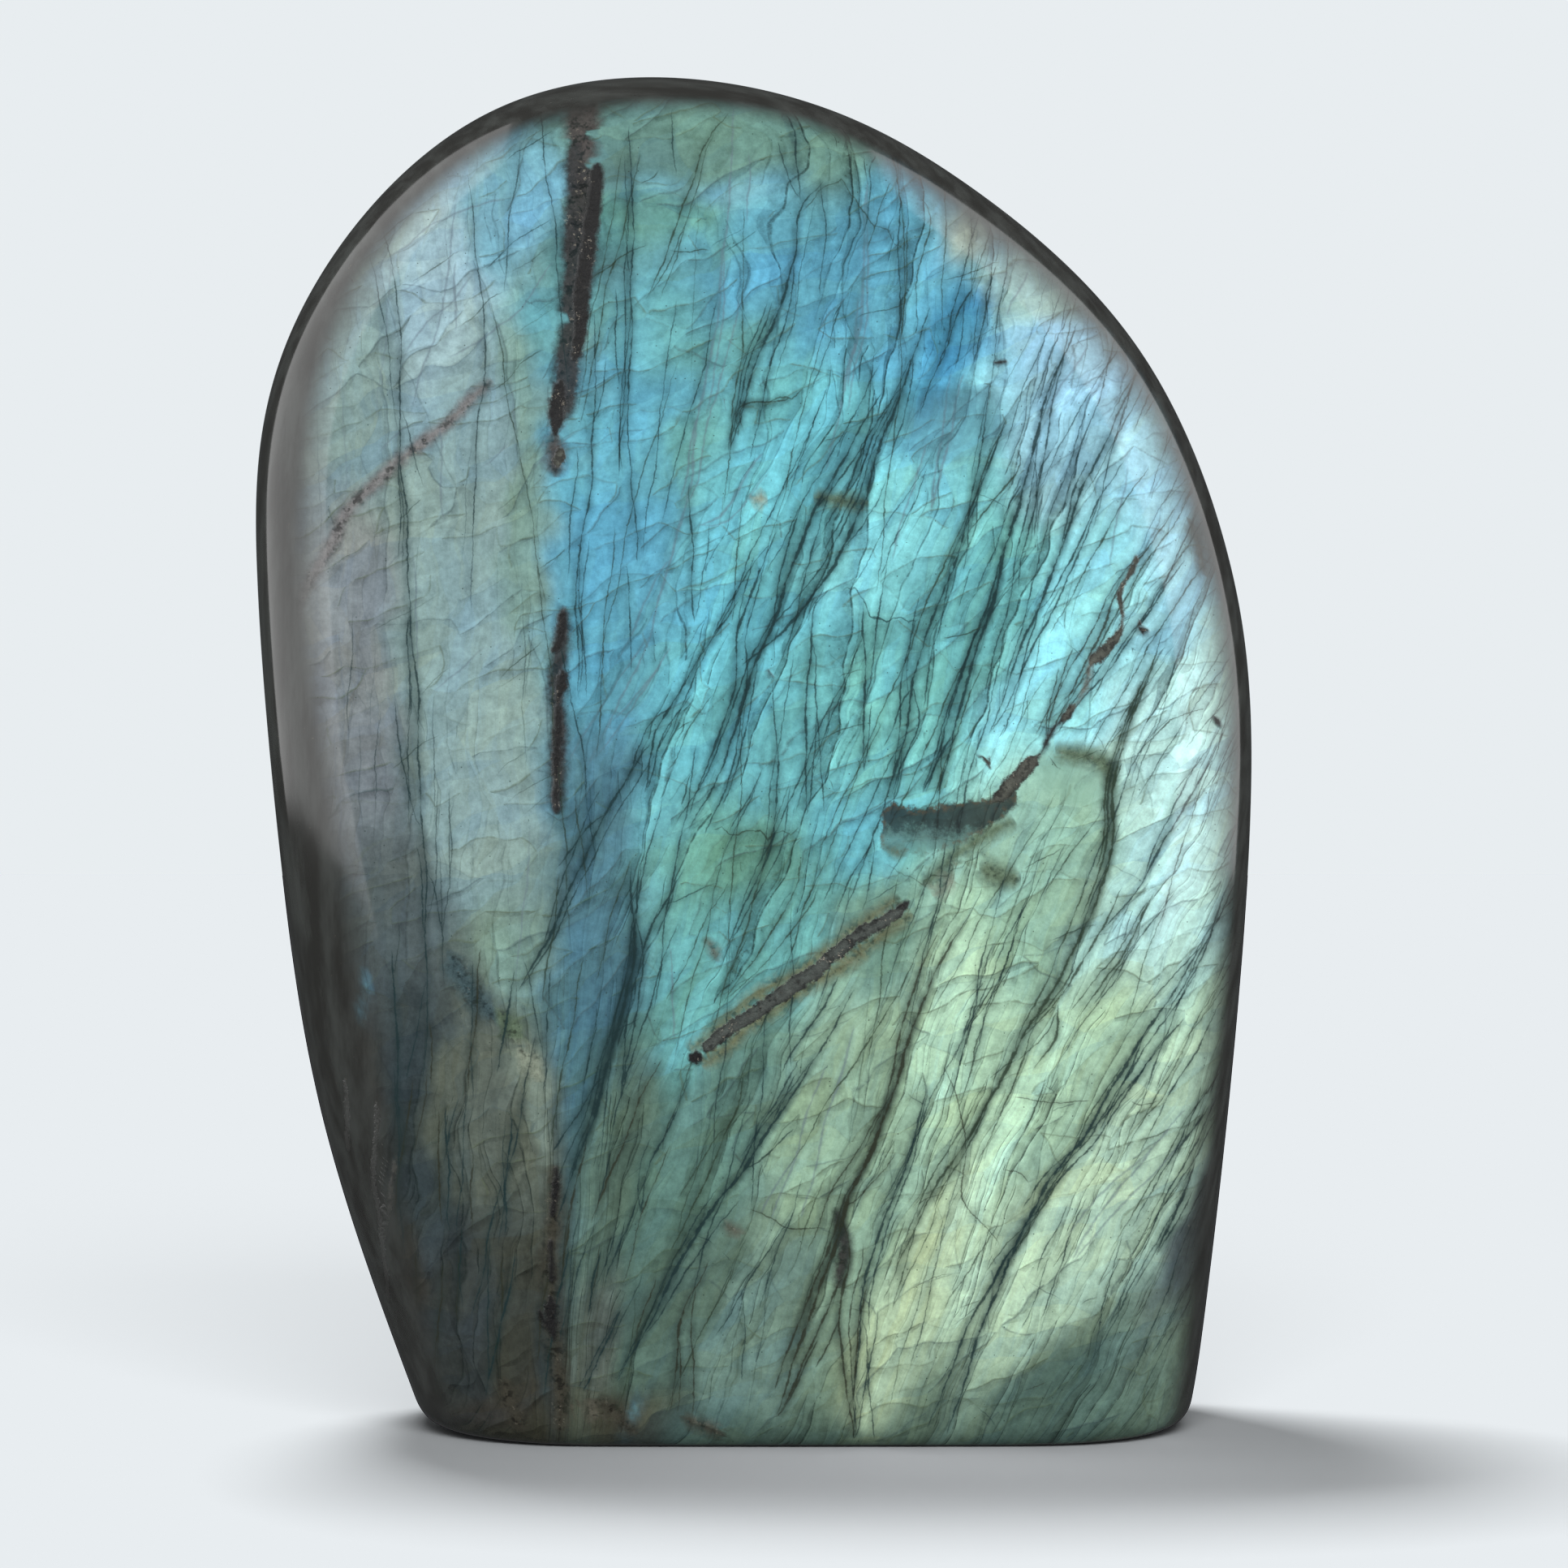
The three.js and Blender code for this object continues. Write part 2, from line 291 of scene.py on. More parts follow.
SHEETS = 7
SHEET_GAP = 2.7
# How far the painted light and shade beside strong cracks and ledges reach and fade, and how much lighter and
# darker they paint the slivers.
SHADING_REACH, SHADING_FADE, PAINTED_LIGHT, SHADED = 6, 1.8, 0.16, -0.5
draw = np.random.default_rng(7)


def course(points, wander=0.1, jags=0.0):
    """A crack's course: a cubic through its points whose slope at each is that of its neighbours' chord, in
    steps of about the same length, moved sideways by three sine waves of random phase that die out at both
    ends, and at random by up to the jags."""
    points = np.array(points, float)
    ends = np.concatenate([2 * points[:1] - points[1:2], points, 2 * points[-1:] - points[-2:-1]])
    chord = np.linalg.norm(np.diff(points, axis=0), axis=1)
    passed = np.concatenate([[0], np.cumsum(chord)])
    where = np.linspace(0, passed[-1], max(int(passed[-1] / COURSE_STEP), 3) + 1)
    stretch = np.clip(np.searchsorted(passed, where, side="right") - 1, 0, len(chord) - 1)
    t = ((where - passed[stretch]) / chord[stretch])[:, None]
    a, b, c, d = (ends[stretch + k] for k in range(4))
    smooth = b + t / 2 * (c - a + t * (2 * a - 5 * b + 4 * c - d + t * (3 * (b - c) + d - a)))
    way = (points[-1] - points[0]) / np.linalg.norm(points[-1] - points[0])
    phases = draw.uniform(0, 2 * np.pi, 3)
    swing = (np.sin(2 * np.pi * where[:, None] / SWING_LENGTHS + phases) * SWING_SHARES).sum(1)
    swing *= wander * np.maximum(np.sin(np.pi * where / passed[-1]), 0) ** 0.5
    swing += jags * np.random.default_rng(len(where)).uniform(-1, 1, len(where))
    return smooth + swing[:, None] * (-way[1], way[0])


def coursed(rows, share=1, **how):
    """The rows of a table with their points made courses, and their strength or width times the share."""
    return [(size * share, paint, course(points, **how)) for size, paint, *points in rows]


def splinters(crack):
    """Thinner cracks that split off a crack: stretches of its course that leave it sideways, on either side,
    by a distance that grows as the share of their length to the power 0.6."""
    weight, paint, points = crack
    for _ in range(int(len(points) * COURSE_STEP / SPLIT_EVERY)):
        first = draw.integers(0, max(len(points) - SPLINTER_STEPS[0], 1))
        piece = points[first:first + draw.integers(*SPLINTER_STEPS)][::draw.choice((-1, 1))]
        way = piece[-1] - piece[0]
        way = way / np.linalg.norm(way)
        share = np.linspace(0, 1, len(piece))[:, None]
        off = draw.choice((-1, 1)) * draw.uniform(*SPLIT_REACH) * share ** 0.6
        yield weight * draw.uniform(*SPLINTER_WEIGHT), paint, piece + off * (-way[1], way[0])


def strewn(count, span_x, span_z, length, slant, weight, paints):
    """Random courses that start in the given spans and follow the cleavage, each with a slant of its own."""
    for _ in range(count):
        start = np.array([draw.uniform(*span_x), draw.uniform(*span_z)])
        tilt = draw.uniform(*slant)
        steps = np.linspace(0, draw.uniform(*length), 5)[1:]
        path = [start]
        for step in np.diff(steps, prepend=0):
            path.append(path[-1] + np.array([lean(*path[-1]) + tilt, 1]) * step)
        yield draw.uniform(*weight), paints[draw.integers(len(paints))], course(path)


def sheets_of(cracks):
    """Spreads the cracks over sheets, the strongest first, so that no two on one sheet come near each other.
    One that fits on no sheet is left out."""
    sheets = [[] for _ in range(SHEETS)]
    for crack in sorted(cracks, key=lambda crack: -crack[0]):
        for sheet in sheets:
            gaps = [np.linalg.norm(crack[2][:, None] - other[2], axis=-1).min() for other in sheet]
            if min(gaps, default=SHEET_GAP) >= SHEET_GAP:
                sheet.append(crack)
                break
    return sheets


def beside(x, z, points, reach=CAPTURE):
    """The places within reach of a crack. For each: how far it is from the crack's line, with a sign for the
    side; how far it is from the crack itself; and the share of the crack's length that is passed there."""
    low, high = points.min(0) - reach, points.max(0) + reach
    chosen = np.flatnonzero((x > low[0]) & (x < high[0]) & (z > low[1]) & (z < high[1]))
    run = np.diff(points, axis=0)
    length = np.hypot(*run.T)
    away = np.stack([x[chosen], z[chosen]], axis=-1)[:, None] - points[:-1]
    share = np.clip((away * run).sum(-1) / length ** 2, 0, 1)
    gap = np.linalg.norm(away - share[..., None] * run, axis=-1)
    row, best = np.arange(len(chosen)), gap.argmin(1)
    side = (run[best, 0] * away[row, best, 1] - run[best, 1] * away[row, best, 0]) / length[best]
    close = gap[row, best] < reach
    return chosen[close], side[close], gap[row, best][close], ((best + share[row, best]) / len(run))[close]


def nearest_crack(x, z, cracks, taper=0.5):
    """For each place, from the crack that runs nearest to it: its side, its distance, the crack's strength
    and its colour. With p the share of its length that is passed, the strength falls to both ends as
    4p - 4p^2, to the power of the taper."""
    side, near = np.full(x.shape, CAPTURE), np.full(x.shape, CAPTURE)
    strength, colour = np.zeros(x.shape), np.zeros(x.shape + (4,))
    for weight, paint, points in cracks:
        chosen, across, gap, passed = beside(x, z, points)
        closer = gap < near[chosen]
        hit = chosen[closer]
        side[hit], near[hit] = across[closer], gap[closer]
        strength[hit] = weight * (4 * passed * (1 - passed))[closer] ** taper
        colour[hit] = paint
    return side, near, strength, colour


def painted_crack_shading(x, z, cracks):
    """Painted light and shade beside the strong cracks: each sliver is taken to lie over the one to its left,
    so it is painted lighter to the right of a crack and darker, by more, to the left. Both fade as exp(-d),
    where d is the distance in shares of the fade, and towards the crack's ends."""
    light = np.ones(x.shape)
    for weight, _, points in cracks:
        chosen, across, gap, passed = beside(x, z, points, SHADING_REACH)
        fade = weight * np.sqrt(passed * (1 - passed)) * np.exp(-gap / SHADING_FADE)
        light[chosen] *= 1 + fade * np.where(across > 0, PAINTED_LIGHT, SHADED)
    return light


main_cracks = coursed(TOP_CRACKS + RIGHT_CRACKS + CENTRE_CRACKS + LOWER_CRACKS + LEFT_CRACKS)
clefts = main_cracks + [
    splinter for crack in main_cracks if crack[0] > SPLIT_FROM for splinter in splinters(crack)]
ledges = coursed(LEDGES, wander=0.25, jags=0.5)
clefts += [(weight * LEDGE_SHARE, paint, points) for weight, paint, points in ledges]
clefts += coursed(CROSS_CRACKS, CROSS_SHARE, wander=0.2)

# How many are strewn, between which x and z, how long, how much off the cleavage, how strong, and which.
clefts += [
    *strewn(230, (-22, 42), (2, 120), (10, 40), (-0.3, 0.12), (0.15, 0.7), (DARK, DARK, GREEN)),
    *strewn(120, (-10, 46), (5, 110), (6, 24), (-0.1, 0.3), (0.15, 0.6), (DARK, GREEN)),
    *strewn(40, (-46, -22), (20, 120), (6, 22), (-0.06, 0.1), (0.1, 0.35), (DARK, MAUVE)),
    *strewn(46, (-38, -12), (2, 40), (5, 20), (-0.05, 0.25), (0.3, 1.0), (DARK, BROWN)),
    *strewn(60, (-16, 42), (4, 132), (0.8, 2.6), (1.0, 3.0), (0.15, 0.4), (DARK, GREEN, BROWN)),
    *strewn(30, (-42, -20), (60, 130), (2, 5), (0.9, 1.7), (0.1, 0.3), (MAUVE, GREEN)),
    *strewn(30, (-12, 42), (4, 120), (-2.4, 2.4), (-2.6, -0.8), (0.15, 0.35), (DARK, BROWN)),
]
sheets = sheets_of(clefts)

# The inclusions. Black rough seams, a brown needle and a brown vein lie in the face, with stains under them:
# smoke round the seams, a mauve blade, and rusty, olive and tan clouds, the small tan one by the needle's
# upper end a painted glint. Each has a width, a colour and a course, in millimetres, and a colour's last
# number is its softness.
BLACK, EARTH, NEEDLE, RUST = (7, 7, 8, 0.5), (72, 74, 66, 0.1), (64, 70, 66, 0), (84, 82, 72, 0.9)
SMOKE, HAZE, BLADE = (52, 49, 49, 0.6), (70, 64, 62, 0.9), (112, 110, 110, 0.6)
OLIVE, TAN, INK = (84, 100, 80, 1), (126, 134, 118, 1), (58, 76, 80, 1)
AMBER, OCHRE = (96, 98, 72, 1), (58, 56, 48, 1)
INCLUSIONS = [
    (1.6, BLACK, (-16.3, 133.8), (-16.9, 128), (-17.4, 122.6), (-17.8, 117), (-18.6, 113)),
    (1.7, BLACK, (-20, 110.4), (-20.3, 107.4), (-20.4, 105)), (1.3, EARTH, (-19.8, 103.2), (-20.2, 101.4)),
    (1.0, BLACK, (-19.3, 87), (-19.9, 84), (-20.6, 82.4)), (1.5, BLACK, (-19.6, 80), (-19.9, 78)),
    (0.9, BLACK, (-20, 78), (-20, 74), (-20.3, 69.6)), (0.5, BLACK, (-20.1, 69), (-19.9, 65.4)),
    (1.5, NEEDLE, (-5.4, 41), (-1, 44.4), (4.3, 48.1), (10.9, 52.8), (15.6, 56)),
    (1.6, BLACK, (-6.5, 40.2), (-5.2, 41)), (0.9, BLACK, (15, 55.9), (16, 56.5)),
    (1.6, EARTH, (25, 67), (27, 69), (29.3, 71.6)), (0.5, BLACK, (29.8, 71.8), (32, 75.3)),
    (0.8, EARTH, (31.8, 75), (33.6, 77.3)), (0.4, RUST, (33.6, 77.4), (34.2, 79), (34.8, 81.2)),
    (1.3, EARTH, (34.9, 81.4), (36.4, 82.2), (37.9, 84)),
    (0.6, EARTH, (38, 84), (38.6, 86), (38.2, 88.6), (39.9, 92.4)), (1.0, BLACK, (1.7, 80.4), (2.3, 79.8)),
    (0.9, EARTH, (23.6, 71.6), (24.4, 70.8)), (0.6, BLACK, (25.2, 112.6), (26.6, 112.7)),
    (0.8, BLACK, (40, 84.9), (41, 84.6)), (0.6, BLACK, (48, 75.6), (48.5, 74.8)),
    (0.9, BLACK, (-20.2, 29), (-20.6, 24)), (0.6, BLACK, (-20.7, 22), (-20.6, 17)),
    (1.1, BLACK, (-20.8, 15.6), (-20.4, 11)), (0.4, BROWN, (-42.4, 38), (-42, 30)),
    (0.5, BROWN, (-38.9, 36), (-39.1, 26), (-38.2, 14)),
    (0.35, RUST, (-37, 30.2), (-37.6, 26), (-38.1, 21.6)), (0.6, BLACK, (-22, 14.5), (-20.4, 11.5)),
]
STAINS = [
    (3.9, HAZE, (-17.9, 144), (-17.9, 139), (-17.9, 134)),
    (3.6, SMOKE, (-17.9, 137), (-18.1, 130), (-18.3, 122), (-18.6, 115)),
    (3.0, SMOKE, (-18.8, 117), (-19.5, 111), (-20.2, 106.4)), (2.2, HAZE, (-20.4, 105), (-20.4, 100.6)),
    (2.0, SMOKE, (-19.6, 87), (-20, 78), (-20.2, 66)),
    (1.5, BLADE, (-48.5, 84), (-43, 95.5), (-39.5, 99.5), (-32.5, 105.8), (-27.2, 110.6)),
    (2.6, INK, (-31.4, 51), (-29, 47.6), (-26.4, 44.6)), (2.4, OLIVE, (-26, 45), (-24, 42.4)),
    (2.2, TAN, (-23.8, 41.2), (-22, 38.4)), (2.4, OLIVE, (23.4, 60), (27.6, 59)),
    (1.3, AMBER, (-6.6, 41.2), (-1.6, 45.2), (3.7, 48.9), (10.3, 53.6), (15, 56.9)),
    (1.4, AMBER, (-5, 39.7), (-0.4, 43.5), (5, 47.2), (11.6, 51.9), (16.6, 55.3)),
    # The small tan cloud by the needle's upper end is a painted glint of beige sparkle.
    (1.6, OLIVE, (27, 65), (22, 62), (17.5, 58.4)), (1.4, TAN, (18.6, 57.2), (20.4, 59)),
    (1.8, OLIVE, (31.4, 72.2), (34.6, 71.6), (36.6, 70.4), (37, 67.6)),
    (1.4, OLIVE, (13.8, 62.2), (15.4, 61.4)), (1.6, OLIVE, (6.4, 98.4), (11.6, 97.8)),
    (1.6, TAN, (0.2, 98.4), (1.6, 98.2)), (2.0, OCHRE, (-20.4, 29), (-20.7, 20), (-20.3, 10), (-19.8, 2)),
    (1.6, OCHRE, (-16, 5), (-12, 1.6)), (1.6, OCHRE, (-7, 3.4), (-3, 1.4)),
    (1.8, OCHRE, (-25.6, 7), (-24, 1.6)), (1.4, RUST, (-16.8, 5.4), (-16.2, 3)),
    (1.2, RUST, (-6, 3), (-3.4, 2)), (1.2, RUST, (45.6, 96), (47.2, 90.5)),
    (1.0, RUST, (-4.6, 52.6), (-3.6, 50.6)), (1.0, RUST, (-2.8, 23.4), (-1.2, 22.4)),
    (1.6, SMOKE, (8.6, 24.8), (9.6, 21.4), (9, 17)),
]
TORN_PATCH = np.array([
    (13, 66), (14.5, 67), (18, 66.2), (21, 67), (25, 67.5), (27.4, 69.2), (27.6, 66.4), (24, 63.8),
    (20, 61.6), (15, 61), (13, 62),
])
GREEN_PATCH = np.array([(28.6, 71), (31, 73), (34.6, 73), (37.4, 71.4), (38, 66.5), (33.6, 66), (30, 67.6)])
DARK_PATCH = np.array([
    (14.6, 108), (19, 110.2), (23, 110.8), (26.4, 109.2), (27.4, 104.4), (21.5, 101), (15, 102),
])


def patch_depth(x, z, corners):
    """How far inside a closed outline a place is, in millimetres, below 0 outside it: the distance to the
    nearest side, with its sign from whether a line to the right crosses the sides an odd number of times."""
    place = np.stack([x, z], axis=-1)[:, None]
    run = np.roll(corners, -1, axis=0) - corners
    away = place - corners
    share = np.clip((away * run).sum(-1) / (run ** 2).sum(-1), 0, 1)
    gap = np.linalg.norm(away - share[..., None] * run, axis=-1).min(1)
    spans = (corners[:, 1] > z[:, None]) != (np.roll(corners, -1, axis=0)[:, 1] > z[:, None])
    rises = np.where(run[:, 1] == 0, 1, run[:, 1])
    crosses = spans & (x[:, None] < corners[:, 0] + run[:, 0] * away[..., 1] / rises)
    return np.where(crosses.sum(1) % 2 == 1, gap, -gap)


inclusions, stains = coursed(INCLUSIONS, wander=0.12), coursed(STAINS, wander=0.12)

# The flash. The colours that labradorite throws back from inside, each with its zones of the front face: the
# x and z of a zone's middle, and its reach across the slivers and along them. How deep inside the rim the
# flash starts and is full goes by the angle round the stone's middle.
ZONES = {
    "sky": ((110, 158, 178), (-24, 130, 4, 6), (-40.6, 47, 0.7, 1.1), (-40.8, 43.6, 0.7, 1), (-2, 130, 3, 2)),
    "azure": ((90, 152, 176), (-16, 83, 3, 8), (-14, 104, 2.6, 12), (0, 126, 4, 5), (12, 122, 6, 8)),
    "deep blue": ((66, 130, 164), (20.5, 113.5, 2.6, 4)),
    "slate": ((74, 110, 124), (-12.6, 2.6, 0.8, 1.6), (-16, 49, 5, 6), (-17, 66, 3.5, 8)),
    "turquoise": ((106, 178, 192), (5, 103, 6, 8), (-3, 79, 5, 7), (9, 65, 4, 4)),
    "bright turquoise": ((121, 188, 197), (14, 95, 6, 8)),
    "teal": ((100, 154, 152), (-4, 115, 4, 5), (-7, 102, 4, 5)),
    "dark teal": ((58, 76, 80), (-14.5, 130, 1.8, 8)),
    "sea green": ((96, 128, 120), (-7, 135, 5, 5), (3, 137, 5, 4), (12, 53, 3, 3), (-6, 31, 4, 8)),
    "jade": ((108, 172, 174), (8, 75, 6, 7), (23, 87, 6, 8), (-3, 50, 5, 6)),
    "aqua": ((136, 198, 206), (33, 84, 4, 8)),
    "mint": ((182, 218, 216), (43, 70, 5, 9), (44, 53, 4, 8)),
    "ice": ((141, 182, 198), (38, 104, 4, 6), (43, 94, 4, 8)),
    "lavender": ((150, 190, 212), (33, 112, 4, 4)),
    "cream": ((150, 176, 170), (30, 119.5, 3, 2.4)),
    "straw": ((134, 144, 134), (22, 126, 3, 2.4)),
    "fern": ((100, 148, 132), (-9, 127, 3, 4), (0, 61, 4, 4)),
    "dark fern": ((80, 100, 92), (-14, 30, 3.4, 9), (-9, 15, 5, 8), (29, 3, 5, 6), (4, 0, 9, 3.2)),
    "pale green": ((137, 170, 152), (31, 58, 6, 7)),
    "pistachio": ((166, 196, 172), (22, 46, 5, 7), (35, 42, 5, 7)),
    "lemon": ((170, 188, 160), (16, 13, 2.6, 6)),
    "sage": ((138, 164, 144), (11, 33, 5, 9)),
    "milk": ((125, 146, 147), (-41, 109, 4, 10), (-29, 98, 5, 12), (-30, 79, 6, 9), (-27, 62, 4, 6)),
    "olive milk": ((114, 138, 128), (-23.4, 98, 1.6, 14), (-25, 52, 3, 4), (1, 13, 3, 7)),
    "haze": ((146, 170, 182), (-33, 121, 5, 8)),
    "pewter": ((118, 122, 127), (-42, 78, 4, 14)),
    "smoke": ((58, 62, 62), (-30, 14, 5, 9)),
    "ash": ((78, 86, 87), (-38, 54, 5, 8), (46, 22, 1.6, 5)),
    "bronze": ((62, 62, 54), (-24.5, 13, 3, 9), (-14, 2, 5, 2.4), (-26, 1, 8, 2.6)),
    "smoke blue": ((55, 63, 66), (-35, 40, 3, 8), (-34, 24, 3, 8), (-21, 5, 2.5, 4)),
    "smoke brown": ((60, 57, 54), (-42, 36, 3, 10), (-37, 12, 3, 8), (-27, 4, 5, 3)),
    "smoke green": ((84, 90, 84), (-29, 38, 3, 7), (-25, 28, 3, 8), (-16, 12, 3.4, 6)),
    "moss milk": ((118, 130, 122), (-22.8, 33, 1.8, 4)),
    "pale mint": ((184, 210, 188), (37, 27, 6, 8)),
}
FLASH_ANGLE = (-50, -20, 10, 25, 40, 55, 70, 85, 100, 115, 130, 145, 160, 175, 190, 220, 250, 270, 290)
FLASH_START = (1.5, 1.8, 2.0, 2.2, 1.5, 2.0, 2.5, 2.2, 3.0, 3.4, 3.5, 5.0, 4.5, 5.5, 6, 6, 2, 0.5, 0.5)
FLASH_FULL = (7, 6.5, 7.5, 7.5, 7.5, 8, 8.0, 4.8, 6.0, 8.0, 9.0, 10, 10, 10, 11, 12, 5, 2, 3)
BODY = (42, 42, 40)
BACK_DULL, BACK_BLUE = (72, 84, 82), (68, 112, 126)
WAVES, WAVES_SPREAD = 12, 3.5


def linear(colour):
    """A colour from 0 to 255 as seen, turned to light: v / 12.92 in the darkest part, and above it
    ((v + 0.055) / 1.055)^2.4."""
    v = np.array(colour, float) / 255
    return np.where(v <= 0.04045, v / 12.92, ((v + 0.055) / 1.055) ** 2.4)


def flash_colour(sliver, z):
    """The zones' colours, each weighed by 1 / (0.8 + d^2)^3, where d is the distance to its middle in shares
    of its reach."""
    colours = linear([colour for colour, *zones in ZONES.values() for _ in zones])
    zones = np.array([zone for _, *zones in ZONES.values() for zone in zones])
    middle_x, middle_z, reach_across, reach_along = zones.T
    across = (sliver[:, None] - sliver_at(middle_x, middle_z)) / reach_across
    along = (z[:, None] - middle_z) / reach_along
    weight = (0.8 + across ** 2 + along ** 2) ** -3
    return weight @ colours / weight.sum(1, keepdims=True)


def waves(seed, shortest, longest, *place):
    """Smooth unevenness from about -1 to 1: sine waves of random length, way and phase, added up and divided
    by about the root of their number."""
    dice = np.random.default_rng(seed)
    way = dice.normal(size=(len(place), WAVES))
    way /= np.linalg.norm(way, axis=0) * dice.uniform(shortest, longest, WAVES)
    phase = dice.uniform(0, 2 * np.pi, WAVES)
    return np.sin(2 * np.pi * np.stack(place, axis=-1) @ way + phase).sum(-1) / WAVES_SPREAD


# A place belongs to the front or the back by its depth, and the flash stops where either face bends over.
inside, _ = inside_rim(x, z)
angle = np.degrees(np.arctan2(z - MIDDLE_Z, x))
start, full = (np.interp(angle, FLASH_ANGLE, depths, period=360) for depths in (FLASH_START, FLASH_FULL))
front = smooth_step(4, -4, y)
facing_share = smooth_step(-2, -8, y)
flash = smooth_step(0, 1, (inside - start) / (full - start)) * smooth_step(-4, -10, y)
back_share = smooth_step(-1.3, 1.5, waves(3, 14, 60, x, z))[:, None]
back = linear(BACK_DULL) * (1 - back_share) + linear(BACK_BLUE) * back_share
back_flash = smooth_step(4, 9, inside) * smooth_step(6, 12, y)
swayed_x, swayed_z = sliver + 1.2 * waves(5, 6, 30, x, z), z + 2.5 * waves(6, 8, 40, x, z)
lit = front[:, None] * flash_colour(swayed_x, swayed_z) + (1 - front[:, None]) * back
# Painted light and shade beside the strong cracks and the ledges, on the front face only.
lit *= painted_crack_shading(x, z, main_cracks + ledges)[:, None] ** facing_share[:, None]
shown = np.maximum(flash, back_flash)
face_colour = np.concatenate([lit, shown[:, None]], axis=1)

# The polished skin. The seams and the torn patch wore away a little more than the stone round them when it
# was ground, so they are sunk by a tenth or two of a millimetre and stay rough.
SEAM_DEPTH, PATCH_DEPTH = 0.12, 0.2
BLUNT = 0.15
OFF_THE_PATCH = -9
DIP = 0.4
MM = 0.001
facing = y < -2
patch_depths = [np.where(facing, patch_depth(x, z, corners), OFF_THE_PATCH)
                for corners in (TORN_PATCH, GREEN_PATCH, DARK_PATCH)]
in_seam = nearest_crack(x, z, inclusions, BLUNT)
seam_share = smooth_step(0.5, -0.5, in_seam[1] - in_seam[2] / 2) * (in_seam[2] > 0.5) * facing
torn = smooth_step(0, 0.8, patch_depths[0])
sunk = (SEAM_DEPTH * seam_share + PATCH_DEPTH * torn) * (1 + 0.5 * waves(11, 1.5, 4, x, z))
skin[:, 1] += sunk

mesh = bpy.data.meshes.new("labradorite_polished")
mesh.vertices.add(len(skin))
mesh.vertices.foreach_set("co", (skin * MM).ravel())
mesh.loops.add(faces.size)
mesh.loops.foreach_set("vertex_index", faces.ravel())
mesh.polygons.add(len(faces))
mesh.polygons.foreach_set("loop_start", np.arange(0, faces.size, 4))
mesh.polygons.foreach_set("use_smooth", np.ones(len(faces), bool))
mesh.update(calc_edges=True)
mesh.validate()


def store(name, kind, values):
    """Keeps an array of values for the corners of the mesh under a name that the material reads."""
    attribute = mesh.attributes.new(name, kind, "POINT")
    part = "color" if kind == "FLOAT_COLOR" else "vector"
    attribute.data.foreach_set(part, values.astype(np.float32).ravel())


def store_cracks(name, cracks, taper=0.5):
    """Stores side, nearness and strength of the nearest crack as one vector, and its colour and softness."""
    side, near, strength, colour = nearest_crack(x, z, cracks, taper)
    store(name, "FLOAT_VECTOR", np.stack([side, near, strength * facing], axis=-1))
    store(name + "_colour", "FLOAT_COLOR", np.concatenate([linear(colour[:, :3]), colour[:, 3:]], axis=1))


store("face", "FLOAT_COLOR", face_colour)
for number, sheet in enumerate(sheets):
    store_cracks(f"cracks_{number}", sheet)
store_cracks("inclusion", inclusions, BLUNT)
store_cracks("stain", stains, BLUNT)
store("patch", "FLOAT_VECTOR", np.stack(patch_depths, axis=-1))
store("course", "FLOAT_VECTOR", np.stack([sliver + DIP * y, z, y], axis=-1))

scene = bpy.context.scene
stone = bpy.data.objects.new("labradorite_polished", mesh)
scene.collection.objects.link(stone)


# The finish. Polished feldspar: ground and buffed till it is glassy, but opaque, with its colour broken up
# by slivers, plates, cracks and specks. Lengths in the shader are in millimetres too.
class Wire:
    """A shader value that is written in sums: each operator adds the Math node that does it."""

    def __init__(self, bench, socket):
        self.bench, self.socket = bench, socket

    def math(self, operation, *values):
        return self.bench.node("ShaderNodeMath", {"operation": operation}, dict(enumerate((self, *values))))

    def __add__(self, other):
        return self.math("ADD", other)

    def __sub__(self, other):
        return self.math("SUBTRACT", other)

    def __rsub__(self, other):
        return self.math("MULTIPLY", -1) + other

    def __mul__(self, other):
        return self.math("MULTIPLY", other)

    def __truediv__(self, other):
        return self.math("DIVIDE", other)

    __radd__, __rmul__ = __add__, __mul__

    def between(self, start, end, low=0.0, high=1.0):
        """Goes smoothly from low to high as this value goes from start to end."""
        return self.bench.node("ShaderNodeMapRange", {"interpolation_type": "SMOOTHSTEP"},
                               {0: self, 1: start, 2: end, 3: low, 4: high})


